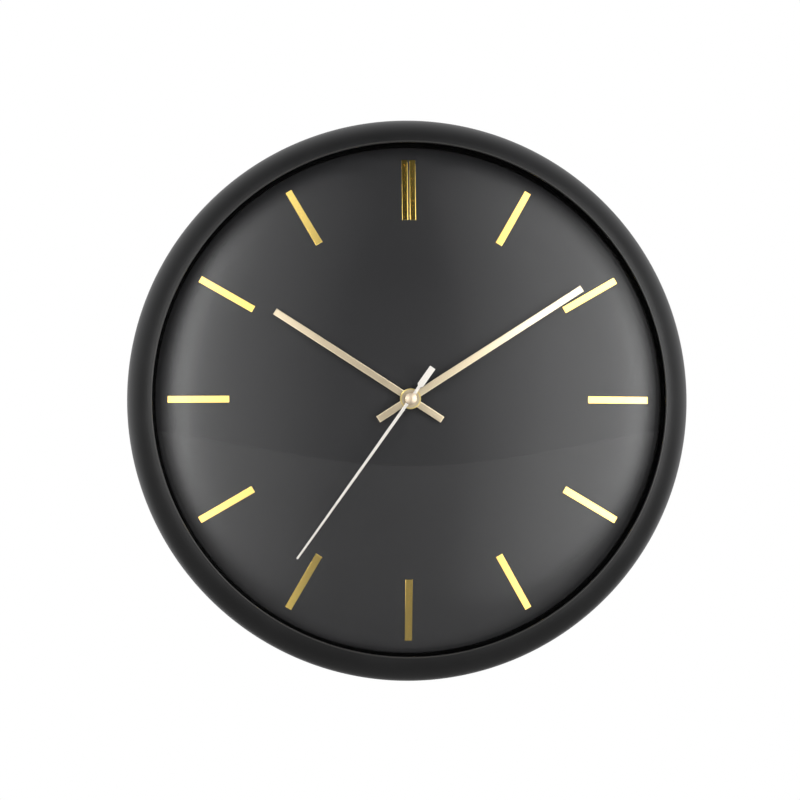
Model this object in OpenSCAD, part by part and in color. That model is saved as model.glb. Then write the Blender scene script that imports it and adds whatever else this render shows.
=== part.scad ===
// Round wall clock with a domed glass, a domed dial and a quartz movement.
// The pieces are drawn in the clock's own frame: X to the right, Y up to twelve o'clock,
// Z out of the wall, with the wall at Z = 0. in_place() then hangs the clock on the row's
// frame: front to -Y, up to +Z, and the origin at the keyhole in the hanger plate.

/* [Case] */
// Outer radius of the case
case_radius = 200; // [190:1:215]
// Width of the rim seen from the front, from the outside to the lip
rim_width = 17.6; // [14:0.2:20]
// Radius of the rim's rounded section
rim_round = 26.4; // [24:0.2:30]
// Height of the widest point of the rim above the wall
rim_equator = 10; // [8:0.5:13]
// Wall of the moulded case
case_wall = 2.5; // [2:0.1:3]
// Depth of the lip in front of the glass seat
lip_depth = 4.5; // [4:0.1:5.2]
// Width of the seat behind the lip
seat_width = 3.8; // [3.4:0.1:4.4]
// Radius of the bead along the lip
bead_radius = 0.8; // [0.6:0.05:1]
// Number of screws that hold the back
screw_count = 8; // [4:1:10]

/* [Glass] */
// Thickness of the glass
glass_thickness = 3; // [2:0.1:4]
// Radius of curvature of the glass crown
crown_radius = 850; // [750:10:1000]
// How far the crown reaches from the middle
crown_reach = 100; // [80:5:120]
// Radius of curvature of the glass shoulder
shoulder_radius = 278; // [260:2:320]
// Least thickness of the gasket between lip and glass
gasket_thickness = 0.8; // [0.5:0.1:1.5]
// How far the spacer ring between dial and glass shows inside the lip
spacer_show = 2.4; // [0.4:0.2:4]

/* [Dial] */
// Radius of curvature of the dial
dome_radius = 880; // [700:10:1000]
// Thickness of the dial sheet
dial_thickness = 1.2; // [0.8:0.1:1.6]
// Distance from the lip of the case to the outer end of a marker
marker_margin = 11; // [8:0.1:20]
// Length of an hour marker
marker_length = 43.6; // [30:0.2:50]
// Width of an hour marker
marker_width = 5.1; // [3:0.1:7]
// Width of each of the two bars at twelve
twelve_width = 4.1; // [3:0.1:5]
// Space between the two bars at twelve
twelve_space = 1.5; // [1:0.1:3]
// Thickness of the markers
marker_thickness = 0.5; // [0.3:0.1:1]

/* [Hands] */
// Length of the hour hand from its axis to its tip
hour_length = 114; // [90:0.5:125]
// Width of the hour hand
hour_width = 4.8; // [3:0.1:7]
// Length of the minute hand from its axis to its tip
minute_length = 146.5; // [130:0.5:170]
// Width of the minute hand
minute_width = 5; // [3:0.1:7]
// Length of the hour and minute hands behind the axis
hand_tail = 27.2; // [15:0.5:35]
// Radius of the round hub of the hour and minute hands
hub_radius = 7.3; // [6:0.1:9]
// Thickness of the hour and minute hands
hand_thickness = 0.8; // [0.5:0.1:1]
// Length of the second hand from its axis to its tip
second_length = 138.5; // [120:0.5:165]
// Width of the second hand at its hub
second_width = 2.2; // [1.6:0.1:3]
// Width of the second hand at its tip
second_tip_width = 1.4; // [1:0.1:2]
// Thickness of the second hand
second_thickness = 0.4; // [0.3:0.1:0.6]
// Width of the second hand's counterweight
weight_width = 4.5; // [3:0.1:6]
// Length of the second hand behind the axis
second_tail = 26.9; // [20:0.1:32]
// Length of the second hand's counterweight
weight_length = 16.6; // [10:0.1:18]
// Radius of the cap on the second hand
cap_radius = 4.3; // [3.6:0.1:6]
// Height of the cap on the second hand
cap_height = 2.2; // [1.8:0.1:4]
// Clockwise angle of the hour hand from twelve
hour_angle = 303; // [0:0.1:359.9]
// Clockwise angle of the minute hand from twelve
minute_angle = 57.2; // [0:0.1:359.9]
// Clockwise angle of the second hand from twelve
second_angle = 215.2; // [0:0.1:359.9]

/* [Back] */
// Thickness of the back plate
plate_thickness = 2.5; // [2:0.1:3]
// How far the back plate lies in front of the wall
plate_inset = 2; // [1.9:0.1:3]
// Radius of the screws that hold the back
screw_radius = 1.3; // [1.1:0.1:1.5]
// Length of the screws that hold the back
screw_length = 11; // [8:0.5:13]
// Distance from the top of the case down to the hanging hole
hang_drop = 62; // [58:1:80]
// Radius of the round end of the keyhole
keyhole_radius = 4.5; // [4:0.1:5.5]
// Width of the slot of the keyhole
slot_width = 4.2; // [3.5:0.1:4.5]
// Rise from the round end to the top of the slot
slot_rise = 8; // [7:0.5:10]
// Thickness of the steel hanger plate
hanger_thickness = 1.5; // [1:0.1:1.8]
// Half the width of the window behind the movement
window_half = 30; // [29.5:0.5:36]

/* [Movement] */
// Side of the square movement
movement_side = 56; // [55:0.5:58]
// Depth of the movement from its front wall to its back cover
movement_depth = 16; // [16:0.1:17]
// Wall of the movement's housing
housing_wall = 1.2; // [1:0.1:1.4]
// Outer radius of the threaded bush
bush_radius = 4; // [3.6:0.1:4.5]
// Radius of the battery
battery_radius = 7.1; // [6.9:0.1:7.15]
// Length of the battery without its nub
battery_body = 49.3; // [48:0.1:49.5]
// Radius of the hour tube
hour_tube_radius = 2.5; // [2.3:0.05:2.6]
// Radius of the minute tube
minute_tube_radius = 1.6; // [1.5:0.05:1.7]
// Radius of the second arbor
arbor_radius = 0.5; // [0.4:0.05:0.6]
// Radial clearance of a turning piece on its pin or in its tube
running_gap = 0.05; // [0.03:0.01:0.08]
// Radius of the time-setting knob
knob_radius = 5; // [4:0.1:6]

/* [Hidden] */
fine = 256;
round_fn = 64;
hair = 0.02;            // gap that keeps two glued or pressed faces apart

// case
lip_radius = case_radius - rim_width;
rim_centre = case_radius - rim_round;
bore_radius = lip_radius + seat_width;
inner_wall = 2;
mouth_radius = case_radius - 4;
lip_z = rim_equator + sqrt(pow(rim_round, 2) - pow(lip_radius - rim_centre, 2));
seat_z = lip_z - lip_depth;
plate_front = plate_inset + plate_thickness;
channel_inner = bore_radius + inner_wall;
boss_circle = channel_inner + 2.5;
boss_radius = 3.4;
boss_height = screw_length + 1.5;
case_rib_width = 1.6;
rib_foot = 1.5;
rib_steps = 5;
bead_inset = 0.6;       // depth of the bead's centre below the rim's face
hang_rise = case_radius - hang_drop;

// dome of the glass
crown_slope = asin(crown_reach / crown_radius);
shoulder_centre = crown_reach - shoulder_radius * sin(crown_slope);
function crown_drop(r) = crown_radius - sqrt(pow(crown_radius, 2) - pow(r, 2));
function shoulder_fall(r) =
    shoulder_radius * cos(crown_slope) - sqrt(pow(shoulder_radius, 2) - pow(r - shoulder_centre, 2));
function glass_drop(r) = r < crown_reach ? crown_drop(r) : crown_drop(crown_reach) + shoulder_fall(r);
glass_radius = bore_radius - 0.4;
glass_apex = seat_z - gasket_thickness + glass_drop(lip_radius);
crown_z = glass_apex - crown_radius;
shoulder_z = glass_apex - crown_drop(crown_reach) - shoulder_radius * cos(crown_slope);
shoulder_inside = shoulder_radius - glass_thickness;
function glass_outside_z(r) = glass_apex - glass_drop(r);
function glass_inside_z(r) = shoulder_z + sqrt(pow(shoulder_inside, 2) - pow(r - shoulder_centre, 2));

// dome of the dial
dial_radius = bore_radius - 1.2;
dial_ledge = 7.1;       // height of the dial's edge above the back plate
dome_inside = dome_radius - dial_thickness;
function dome_fall(ball, r) = ball - sqrt(pow(ball, 2) - pow(r, 2));
dial_back = plate_front + dial_ledge + dome_fall(dome_inside, dial_radius);
dial_apex = dial_back + dial_thickness;
dome_z = dial_apex - dome_radius;
function dial_front_z(r) = dial_apex - dome_fall(dome_radius, r);
function dial_back_z(r) = dial_back - dome_fall(dome_inside, r);
marker_radius = lip_radius - marker_margin - marker_length / 2;
spacer_inner = lip_radius - spacer_show;
spacer_outer = bore_radius - 0.3;

// stack at the middle of the dial, measured from the dial
washer_gap = 1.3;       // from the movement's front wall to the dial
collar_height = 0.5;
collar_radius = bush_radius + 1.5;
bush_rise = 3.5;        // threaded end in front of the dial
bush_top = dial_apex + bush_rise;
washer_thickness = 0.5;
nut_height = 2;
nut_across = 2 * bush_radius + 3;
hand_space = 2.4;       // from one hand to the next
hour_z = bush_top + 0.8;
minute_z = hour_z + hand_thickness + hand_space;
second_z = minute_z + hand_thickness + hand_space + 0.1;
collet_height = 1.6;
hour_collet_height = 0.6;
hour_collet_radius = hour_tube_radius + 1.1;
minute_collet_radius = minute_tube_radius + 1;
second_collet_radius = arbor_radius + 1.1;
tube_end = 0.1;         // a tube stands this far out of its hand
cap_dimple = 0.7;
cap_edge = 0.8;         // height of the cap's straight side

// movement: each level is measured back from the inside of the front wall
movement_front = dial_back - washer_gap;
front_wall = 1.4;
inside_z = movement_front - front_wall;
movement_rear = movement_front - movement_depth;
half = movement_side / 2;
cover_thickness = 1.5;
cover_front = movement_rear + cover_thickness;
inner_half = half - housing_wall;
wheel_thickness = 0.8;
motion_thickness = 1.1;
hour_wheel_thickness = 1;
mid_plate_thickness = 1;
mid_plate_room = 1.8;   // from the housing's walls to the mid plate
axial_play = 0.2;       // between a piece of the motion work and the next
level_space = 0.8;      // between a wheel of the train and the next
pinion_length = 2.2;
stator_space = 1.2;     // from the stator up to the first wheel
hour_wheel_z = inside_z - axial_play - hour_wheel_thickness;
motion_z = hour_wheel_z - axial_play - motion_thickness;
mid_plate_z = motion_z - axial_play - mid_plate_thickness;
centre_wheel_z = mid_plate_z - level_space / 2 - wheel_thickness;
third_wheel_z = centre_wheel_z - level_space - wheel_thickness;
second_wheel_z = third_wheel_z - level_space - wheel_thickness;
inter_wheel_z = second_wheel_z - level_space - wheel_thickness;
stator_z = inter_wheel_z - stator_space;
board_z = cover_front + 0.7;
pin_radius = 0.5;
hour_tube_inside = minute_tube_radius + running_gap;
minute_tube_inside = arbor_radius + running_gap;
bush_inside = hour_tube_radius + running_gap;
bay_floor = -inner_half;
bay_height = 2 * battery_radius + 0.6;
bay_top = bay_floor + bay_height;
battery_y = bay_floor + bay_height / 2;
battery_z = inside_z - battery_radius - 0.2;
nub_length = 1.2;
nub_radius = 2.75;
contact_thickness = 0.4;
contact_dimple = 0.7;
battery_plus = inner_half - contact_thickness - contact_dimple - 0.1;
battery_minus = battery_plus - nub_length - battery_body;
pillars = [[-23.5, 12], [22, -6.5], [20, 22]];
pillar_radius = 1.5;

// gears
pressure_angle = 20;
wheel_tip = 0.48;       // height of a wheel's teeth above the pitch circle, in modules
pinion_tip = 1;         // the same for a pinion
tooth_room = 0.25;      // room under a mating tooth, in modules
tooth_play = 0.14;      // thinning of each tooth at the pitch circle, in modules
rotor_teeth = 10;
inter_teeth = 60;
inter_pinion_teeth = 12;
second_teeth = 60;
second_pinion_teeth = 8;
third_teeth = 60;
third_pinion_teeth = 8;
centre_teeth = 64;
cannon_teeth = 12;
minute_wheel_teeth = 36;
minute_pinion_teeth = 10;
hour_wheel_teeth = 40;
knob_teeth = 12;
rotor_module = 0.2;
second_module = 0.22;
train_distance = 9;
motion_distance = 7.2;
third_module = 2 * train_distance / (second_pinion_teeth + third_teeth);
centre_module = 2 * train_distance / (third_pinion_teeth + centre_teeth);
motion_module = 2 * motion_distance / (cannon_teeth + minute_wheel_teeth);
hour_module = 2 * motion_distance / (minute_pinion_teeth + hour_wheel_teeth);
rotor_distance = rotor_module * (rotor_teeth + inter_teeth) / 2;
inter_distance = second_module * (inter_pinion_teeth + second_teeth) / 2;
inter_way = 150;
third_way = 30;
minute_way = 90;
knob_way = 60;
function polar(r, a) = [r * cos(a), r * sin(a)];
inter_place = polar(inter_distance, inter_way);
rotor_place = polar(inter_distance + rotor_distance, inter_way);
third_place = polar(train_distance, third_way);
minute_place = polar(motion_distance, minute_way);
knob_place = minute_place + polar(motion_distance, knob_way);

// Involute of a circle, in degrees
function involute(a) = tan(a) * 180 / PI - a;
// Half the angle of a tooth at radius r
function half_tooth(teeth, r_pitch, r_base, r) =
    90 / teeth - tooth_play * 90 / (teeth * PI) * 2
    + involute(pressure_angle) - involute(acos(min(1, r_base / r)));
// Turn of gear b that meshes with gear a, where way is the direction from a to b
function mesh_turn(turn_a, teeth_a, teeth_b, way) =
    way + 180 + 180 / teeth_b - (turn_a - way) * teeth_a / teeth_b;

function marker_name(h) = str("hour_marker_", h < 10 ? "0" : "", h);

// Hangs the clock on the wall: its front looks to -Y and the keyhole is at the origin
module in_place() {
    translate([0, plate_inset - hanger_thickness, -hang_rise]) rotate([90, 0, 0]) children();
}

// Flat ring or disc from z0 to z1
module ring(outer, inner, z0, z1) {
    translate([0, 0, z0]) linear_extrude(z1 - z0) difference() {
        circle(outer, $fn = round_fn);
        circle(inner, $fn = round_fn);
    }
}

// Round pin from z0 to z1
module pin(r, z0, z1) {
    translate([0, 0, z0]) cylinder(r = r, h = z1 - z0, $fn = round_fn);
}

// Puts children on a circle
module around(count, radius, start = 0) {
    for (i = [0:count - 1]) rotate(start + 360 * i / count) translate([radius, 0]) children();
}

// ---- case and glass ----

module case_profile() {
    skin_inside = rim_round - case_wall;
    bead_drop = rim_round - bead_inset;
    bead_r = lip_radius + bead_radius - 0.15;
    difference() {
        union() {
            intersection() {
                translate([rim_centre, rim_equator]) circle(rim_round, $fn = fine);
                translate([lip_radius, 0]) square([rim_width + 1, lip_z + 2]);
            }
            translate([bead_r, rim_equator + sqrt(pow(bead_drop, 2) - pow(bead_r - rim_centre, 2))])
                circle(bead_radius, $fn = round_fn);
        }
        // hollow of the moulding, open to the rear
        intersection() {
            translate([rim_centre, rim_equator]) circle(skin_inside, $fn = fine);
            translate([channel_inner, -1]) square([rim_round, lip_z + 2]);
        }
        // seat of the glass, and the mouth for the back plate
        translate([lip_radius - 5, -1]) square([seat_width + 5, seat_z + 1]);
        translate([lip_radius - 5, -1]) square([mouth_radius - lip_radius + 5, plate_front + 1]);
    }
}

// Flat rib across the hollow of the moulding, its outer edge buried in the skin
module case_rib() {
    middle = rim_round - case_wall / 2;
    low = asin((plate_front + rib_foot - rim_equator) / middle);
    high = acos((channel_inner - inner_wall / 2 - rim_centre) / middle);
    rotate([90, 0, 0]) translate([0, 0, -case_rib_width / 2]) linear_extrude(case_rib_width)
        polygon(concat(
            [[channel_inner - inner_wall / 2, rim_equator + middle * sin(low)]],
            [for (k = [0:rib_steps])
                let (a = low + (high - low) * k / rib_steps)
                    [rim_centre, rim_equator] + middle * [cos(a), sin(a)]]
        ));
}

module case_shell() color("#1b1b1c") in_place() difference() {
    union() {
        rotate_extrude($fn = fine) case_profile();
        around(screw_count, boss_circle) pin(boss_radius, plate_front, plate_front + boss_height);
        for (i = [0:2 * screw_count - 1]) rotate((i + 0.5) * 180 / screw_count) case_rib();
    }
    around(screw_count, boss_circle)
        pin(screw_radius + hair, plate_front - 1, plate_front + boss_height - 1);
}

// Cross-section under the dome of the glass, taken in by inset all over
module dome_section(inset) {
    tangent = shoulder_centre + (shoulder_radius - inset) * sin(crown_slope);
    intersection() {
        translate([0, crown_z]) circle(crown_radius - inset, $fn = 4 * fine);
        square([tangent, glass_apex + 1]);
    }
    intersection() {
        translate([shoulder_centre, shoulder_z]) circle(shoulder_radius - inset, $fn = 2 * fine);
        translate([tangent, 0]) square([glass_radius - tangent, glass_apex + 1]);
    }
}

module glass_dome() color("#cfd8dc", 0.25) in_place() rotate_extrude($fn = fine) difference() {
    dome_section(0);
    dome_section(glass_thickness);
}

module glass_gasket() color("#0c0c0c") in_place() rotate_extrude($fn = fine)
    polygon([
        [lip_radius + 0.4, seat_z - hair],
        [bore_radius - hair, seat_z - hair],
        [bore_radius - hair, glass_outside_z(glass_radius) + hair],
        [glass_radius, glass_outside_z(glass_radius) + hair],
        [lip_radius + 0.4, glass_outside_z(lip_radius + 0.4) + hair]
    ]);

module spacer_ring() color("#101011") in_place() rotate_extrude($fn = fine)
    polygon([
        [spacer_inner, dial_front_z(spacer_inner) + hair],
        [spacer_outer, dial_front_z(spacer_inner) + hair],
        [spacer_outer, glass_inside_z(spacer_outer) - 0.05],
        [spacer_inner, glass_inside_z(spacer_inner) - 0.05]
    ]);

// ---- dial and markers ----

// Part of a spherical sheet over the dial: height above the dial, thickness, and reach
module dome_sheet(height, thickness, reach) {
    ball = dome_radius + height;
    rotate_extrude($fn = fine) intersection() {
        translate([0, dome_z]) difference() {
            circle(ball + thickness, $fn = 4 * fine);
            circle(ball, $fn = 4 * fine);
        }
        square([reach, dial_apex + height + thickness + 1]);
    }
}

module dial() color("#26272a") in_place() difference() {
    dome_sheet(-dial_thickness, dial_thickness, dial_radius);
    pin(bush_radius + 0.15, dial_back - 1, dial_apex + 1);
}

module marker_bar(width, side_step) {
    intersection() {
        dome_sheet(hair, marker_thickness, marker_radius + marker_length);
        translate([side_step - width / 2, marker_radius - marker_length / 2, 0])
            cube([width, marker_length, dial_apex + 5]);
    }
}

module hour_marker(h) color("#c9a54a") in_place() rotate(-30 * h) marker_bar(marker_width, 0);

module twelve_marker(side) color("#c9a54a") in_place()
    marker_bar(twelve_width, side * (twelve_width + twelve_space) / 2);

// ---- back ----

module keyhole_outline(grow) {
    circle(keyhole_radius + grow, $fn = round_fn);
    translate([-slot_width / 2 - grow, 0]) square([slot_width + 2 * grow, slot_rise]);
    translate([0, slot_rise]) circle(slot_width / 2 + grow, $fn = round_fn);
}

hanger_width = 2 * keyhole_radius + 14;
hanger_foot = 11;       // from the keyhole down to the hanger's lower end
hanger_head = slot_rise + 9;
hanger_screw_x = keyhole_radius + 4;
pocket_room = 1.2;      // room around the keyhole for the head of the wall's screw
pocket_half = keyhole_radius + pocket_room;
pocket_wall = 1.5;
pocket_top = dial_back_z(hang_rise + slot_rise + pocket_half + pocket_wall) - 1.5;
support_radius = dial_radius - 22;
support_wall = 2;
rib_height = 4;
rib_width = 1.6;
rib_count = 12;
well_wall = 1.6;
well_depth = 6;         // how far the well reaches past the back of the movement
head_height = 1.4;
head_radius = 2 * screw_radius;

module rounded_square(side_half, corner) {
    square([2 * (side_half - corner), 2 * side_half], center = true);
    square([2 * side_half, 2 * (side_half - corner)], center = true);
    for (x = [-1, 1], y = [-1, 1])
        translate([x, y] * (side_half - corner)) circle(corner, $fn = round_fn);
}

// Keyhole pocket, drawn about the keyhole
module pocket_outline(grow) {
    translate([0, -1]) circle(pocket_half + grow, $fn = round_fn);
    translate([-pocket_half - grow, -1]) square([2 * (pocket_half + grow), slot_rise + 1]);
    translate([0, slot_rise]) circle(pocket_half + grow, $fn = round_fn);
}

module at_keyhole(z) {
    translate([0, hang_rise, z]) children();
}

module back_plate() color("#171718") in_place() difference() {
    union() {
        pin(mouth_radius - 0.3, plate_inset, plate_front);
        // ledge under the edge of the dial, and ring under its middle
        ring(bore_radius - 0.3, dial_radius - 5, plate_front - 1, dial_back_z(dial_radius) - hair);
        ring(support_radius, support_radius - support_wall, plate_front - 1,
            dial_back_z(support_radius) - 0.1);
        around(rib_count, 0, 15) translate([window_half, -rib_width / 2, plate_front - 1])
            cube([support_radius - window_half - 1, rib_width, rib_height + 1]);
        translate([0, 0, plate_front - 1])
            linear_extrude(movement_rear + well_depth - plate_front + 1)
                rounded_square(window_half + well_wall, 5 + well_wall);
        at_keyhole(plate_front - 1) linear_extrude(pocket_top - plate_front + 1)
            pocket_outline(pocket_wall);
    }
    translate([0, 0, plate_inset - 1]) linear_extrude(movement_depth * 2)
        rounded_square(window_half, 5);
    at_keyhole(plate_inset - 1) linear_extrude(pocket_top - pocket_wall - plate_inset + 1)
        pocket_outline(0);
    around(screw_count, boss_circle)
        pin(screw_radius + 0.2, plate_inset - 1, plate_front + 1);
    for (x = [-1, 1]) at_keyhole(plate_inset - 1) translate([x * hanger_screw_x, -4.5])
        pin(screw_radius - 0.2 + hair, 0, plate_thickness + 2);
}

module pan_screw(shank, length) {
    pin(head_radius, -head_height, 0);
    pin(shank, -0.5, length);
}

module back_screws() color("#8d8f93") in_place() around(screw_count, boss_circle)
    translate([0, 0, plate_inset - hair]) pan_screw(screw_radius, screw_length);

module hanger_plate() color("#a9abb0") in_place() at_keyhole(plate_inset - hanger_thickness)
    difference() {
        linear_extrude(hanger_thickness - hair) difference() {
            translate([-hanger_width / 2, -hanger_foot])
                square([hanger_width, hanger_foot + hanger_head]);
            keyhole_outline(0);
        }
        for (x = [-1, 1]) translate([x * hanger_screw_x, -4.5])
            pin(screw_radius, -1, hanger_thickness + 1);
    }

module hanger_screws() color("#8d8f93") in_place() at_keyhole(plate_inset - hanger_thickness)
    for (x = [-1, 1]) translate([x * hanger_screw_x, -4.5]) {
        pin(2.2, -0.4, -hair);
        pin(screw_radius - 0.2, -0.3, hanger_thickness + plate_thickness - 0.2);
    }

// ---- movement: housing ----

module housing_box() {
    translate([-half, -half, cover_front + hair])
        cube([movement_side, movement_side, movement_front - cover_front - hair]);
}

module movement_housing() color("#1d1e20") in_place() difference() {
    union() {
        difference() {
            union() {
                housing_box();
                // side walls of the battery bay, down to the rear of the movement
                translate([-half, -half, movement_rear])
                    cube([movement_side, bay_height + 2 * housing_wall, movement_depth]);
            }
            // room for the train, and the battery bay
            translate([-inner_half, bay_top + housing_wall, movement_rear - 1])
                cube([2 * inner_half, half - bay_top, inside_z - movement_rear + 1]);
            translate([-inner_half, bay_floor, movement_rear - 1])
                cube([2 * inner_half, bay_height, inside_z - movement_rear + 1]);
        }
        for (p = pillars) translate(p)
            pin(pillar_radius, mid_plate_z + mid_plate_thickness + hair, inside_z + 0.5);
        translate(knob_place) pin(1.6, motion_z + motion_thickness + 0.4, inside_z + 0.5);
    }
    pin(bush_radius + hair, inside_z - 1, movement_front + 1);
    translate(knob_place) pin(pin_radius + running_gap, motion_z, inside_z + 0.8);
}

module movement_back_cover() color("#1d1e20") in_place() difference() {
    union() {
        translate([-half, bay_top + housing_wall + hair, movement_rear])
            cube([movement_side, half - bay_top - housing_wall - hair, cover_thickness]);
        // pivot boss of the second arbor, and the pins of the wheels
        pin(1.6, cover_front - 0.5, second_wheel_z - 0.4);
        translate(inter_place) pin(pin_radius, cover_front - 0.5, second_wheel_z + 1.2);
        translate(inter_place) pin(1.2, cover_front - 0.5, inter_wheel_z - 0.2);
        translate(rotor_place) pin(pin_radius, cover_front - 0.5, inter_wheel_z + 1.1);
        translate(third_place)
            pin(pin_radius, cover_front - 0.5, centre_wheel_z + wheel_thickness + axial_play);
        translate(third_place) pin(1.2, cover_front - 0.5, third_wheel_z - 0.2);
        for (p = pillars) translate(p) pin(pillar_radius, cover_front - 0.5, mid_plate_z - hair);
        for (p = [[-23, -8], [-7, -8], [-23, 0]]) translate(p)
            pin(1, cover_front - 0.5, board_z - hair);
    }
    pin(arbor_radius + running_gap, cover_front, second_wheel_z);
    translate(knob_place) pin(1.2 + running_gap, movement_rear - 1, cover_front + 1);
}

mid_half = inner_half - mid_plate_room;
mid_low = bay_top + housing_wall + mid_plate_room;

module mid_plate() color("#d8d5cc") in_place() {
    difference() {
        translate([-mid_half, mid_low, mid_plate_z])
            cube([2 * mid_half, mid_half - mid_low, mid_plate_thickness]);
        pin(minute_tube_radius + running_gap, mid_plate_z - 1, mid_plate_z + 2);
        translate(knob_place) pin(1.2 + running_gap, mid_plate_z - 1, mid_plate_z + 2);
    }
    translate(minute_place)
        pin(pin_radius, mid_plate_z + mid_plate_thickness / 2, inside_z - 0.1);
}

module threaded_bush() color("#b99a55") in_place() {
    ring(bush_radius, bush_inside, inside_z, bush_top);
    ring(collar_radius, bush_radius - 0.5, movement_front + hair, movement_front + collar_height);
}

module rubber_washer() color("#151515") in_place()
    ring(9, bush_radius + 0.1, movement_front + collar_height + hair,
        dial_back_z(9) - hair);

module brass_washer() color("#c0a050") in_place()
    ring(nut_across / 2 + 1.2, bush_radius + 0.1, dial_apex, dial_apex + washer_thickness);

module hex_nut() color("#c0a050") in_place() difference() {
    translate([0, 0, dial_apex + washer_thickness + hair])
        cylinder(r = nut_across / sqrt(3), h = nut_height, $fn = 6);
    pin(bush_radius + hair, dial_apex, dial_apex + 5);
}

// ---- movement: electrics ----

// Turns a piece drawn along Z so that it lies along the battery
module along_battery(x) {
    translate([x, battery_y, battery_z]) rotate([0, 90, 0]) children();
}

module battery() color("#3c7d4a") in_place() {
    along_battery(battery_minus) pin(battery_radius, 0, battery_body);
    along_battery(battery_minus) pin(nub_radius, battery_body - 1, battery_body + nub_length);
}

module positive_contact() color("#c8cacd") in_place() {
    translate([inner_half - contact_thickness - hair, battery_y - 5, battery_z - 6])
        cube([contact_thickness, 10, 12]);
    along_battery(inner_half - contact_thickness - contact_dimple)
        pin(2, 0, contact_dimple + contact_thickness / 2);
}

module negative_contact() color("#c8cacd") in_place() {
    gap = battery_minus + inner_half - contact_thickness;
    arc = (pow(gap, 2) + pow(5, 2)) / (2 * gap);
    translate([hair - inner_half, battery_y - 5, battery_z - 6])
        cube([contact_thickness, 10, 12]);
    // sprung tongue that bows out to the flat end of the battery
    translate([0, battery_y + 3, battery_z]) rotate([90, 0, 0]) linear_extrude(6)
        translate([hair - inner_half + contact_thickness / 2, 0]) intersection() {
            translate([gap - arc, 0]) difference() {
                circle(arc, $fn = fine);
                circle(arc - contact_thickness, $fn = fine);
            }
            translate([0, -5.5]) square([gap + 1, 11]);
        }
}

module circuit_board() color("#2f6b3a") in_place() {
    translate([-25.8, -10, board_z]) cube([21.8, 12, 0.8]);
    translate([-18, -4, board_z + 0.4]) pin(3, 0, 1.6);
}

module quartz_crystal() color("#c9ccd1") in_place()
    translate([-12.6, -7.6, board_z + 0.8 + 1 + hair]) rotate([0, 90, 0])
        pin(1, 0, 6);

coil_y = 21;
coil_z = stator_z + 1;
coil_ends = [-21, 0];
core_end = 3;           // bare end of the coil's core, where the stator holds it
flange = 0.8;
core_radius = 1.2;
winding_from = core_end + flange;
winding_to = coil_ends[1] - coil_ends[0] - core_end - flange;

module along_coil() {
    translate([coil_ends[0], coil_y, coil_z]) rotate([0, 90, 0]) children();
}

module coil_bobbin() color("#e4e0d4") in_place() along_coil() {
    pin(core_radius, 0, coil_ends[1] - coil_ends[0]);
    for (x = [core_end, winding_to]) pin(2.9, x, x + flange);
}

module coil_winding() color("#a8502a") in_place() along_coil()
    ring(2.5, core_radius + hair, winding_from + hair, winding_to - hair);

// Bar of the stator from point p to point q, round at q
module stator_bar(p, q) {
    d = q - p;
    translate(p) rotate(atan2(d[1], d[0])) translate([0, -1.6]) square([norm(d), 3.2]);
    translate(q) circle(1.6, $fn = round_fn);
}

module stator() color("#8c8f94") in_place()
    translate([0, 0, coil_z - core_radius - 0.8 - hair]) linear_extrude(0.8) difference() {
        union() {
            translate(rotor_place) circle(4.3, $fn = round_fn);
            for (x = coil_ends) {
                elbow = [x, coil_y - 5.5];
                stator_bar(rotor_place, elbow);
                stator_bar(elbow, [x, coil_y]);
            }
        }
        translate(rotor_place) circle(2.5, $fn = round_fn);
    }

// ---- movement: wheels ----

// Outline of a gear with involute teeth, the first tooth at the angle turn
module gear_outline(teeth, module_size, tip, mate_tip, turn) {
    r_pitch = teeth * module_size / 2;
    r_base = r_pitch * cos(pressure_angle);
    r_tip = r_pitch + tip * module_size;
    r_root = r_pitch - (mate_tip + tooth_room) * module_size;
    start = max(r_base, r_root);
    flank = [for (k = [0:2]) start + (r_tip - start) * k / 2];
    rise = concat(r_root < r_base ? [[r_root, half_tooth(teeth, r_pitch, r_base, r_base)]] : [],
        [for (r = flank) [r, half_tooth(teeth, r_pitch, r_base, r)]]);
    last = len(rise) - 1;
    rotate(turn) polygon([
        for (i = [0:teeth - 1]) for (k = [0:2 * last + 1])
            let (p = k <= last ? rise[k] : rise[2 * last + 1 - k], side = k <= last ? -1 : 1)
                polar(p[0], 360 * i / teeth + side * p[1])
    ]);
}

module wheel(teeth, module_size, z, thickness, bore, turn) {
    translate([0, 0, z]) linear_extrude(thickness) difference() {
        gear_outline(teeth, module_size, wheel_tip, pinion_tip, turn);
        circle(bore, $fn = round_fn);
    }
}

module pinion(teeth, module_size, z, thickness, bore, turn) {
    translate([0, 0, z]) linear_extrude(thickness) difference() {
        gear_outline(teeth, module_size, pinion_tip, wheel_tip, turn);
        if (bore > 0) circle(bore, $fn = round_fn);
    }
}

pin_bore = pin_radius + running_gap;

module rotor() color("#5d5f63") in_place() translate(rotor_place) {
    pinion(rotor_teeth, rotor_module, inter_wheel_z - 0.5, 1.5, pin_bore, inter_way + 180);
    ring(2, pin_bore, stator_z - 1.3, inter_wheel_z - 0.3);
}

module intermediate_wheel() color("#e8e4da") in_place() translate(inter_place) {
    wheel(inter_teeth, rotor_module, inter_wheel_z, wheel_thickness, pin_bore,
        mesh_turn(inter_way + 180, rotor_teeth, inter_teeth, inter_way + 180));
    pinion(inter_pinion_teeth, second_module, inter_wheel_z + wheel_thickness / 2, pinion_length,
        pin_bore, inter_way + 180);
}

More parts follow.
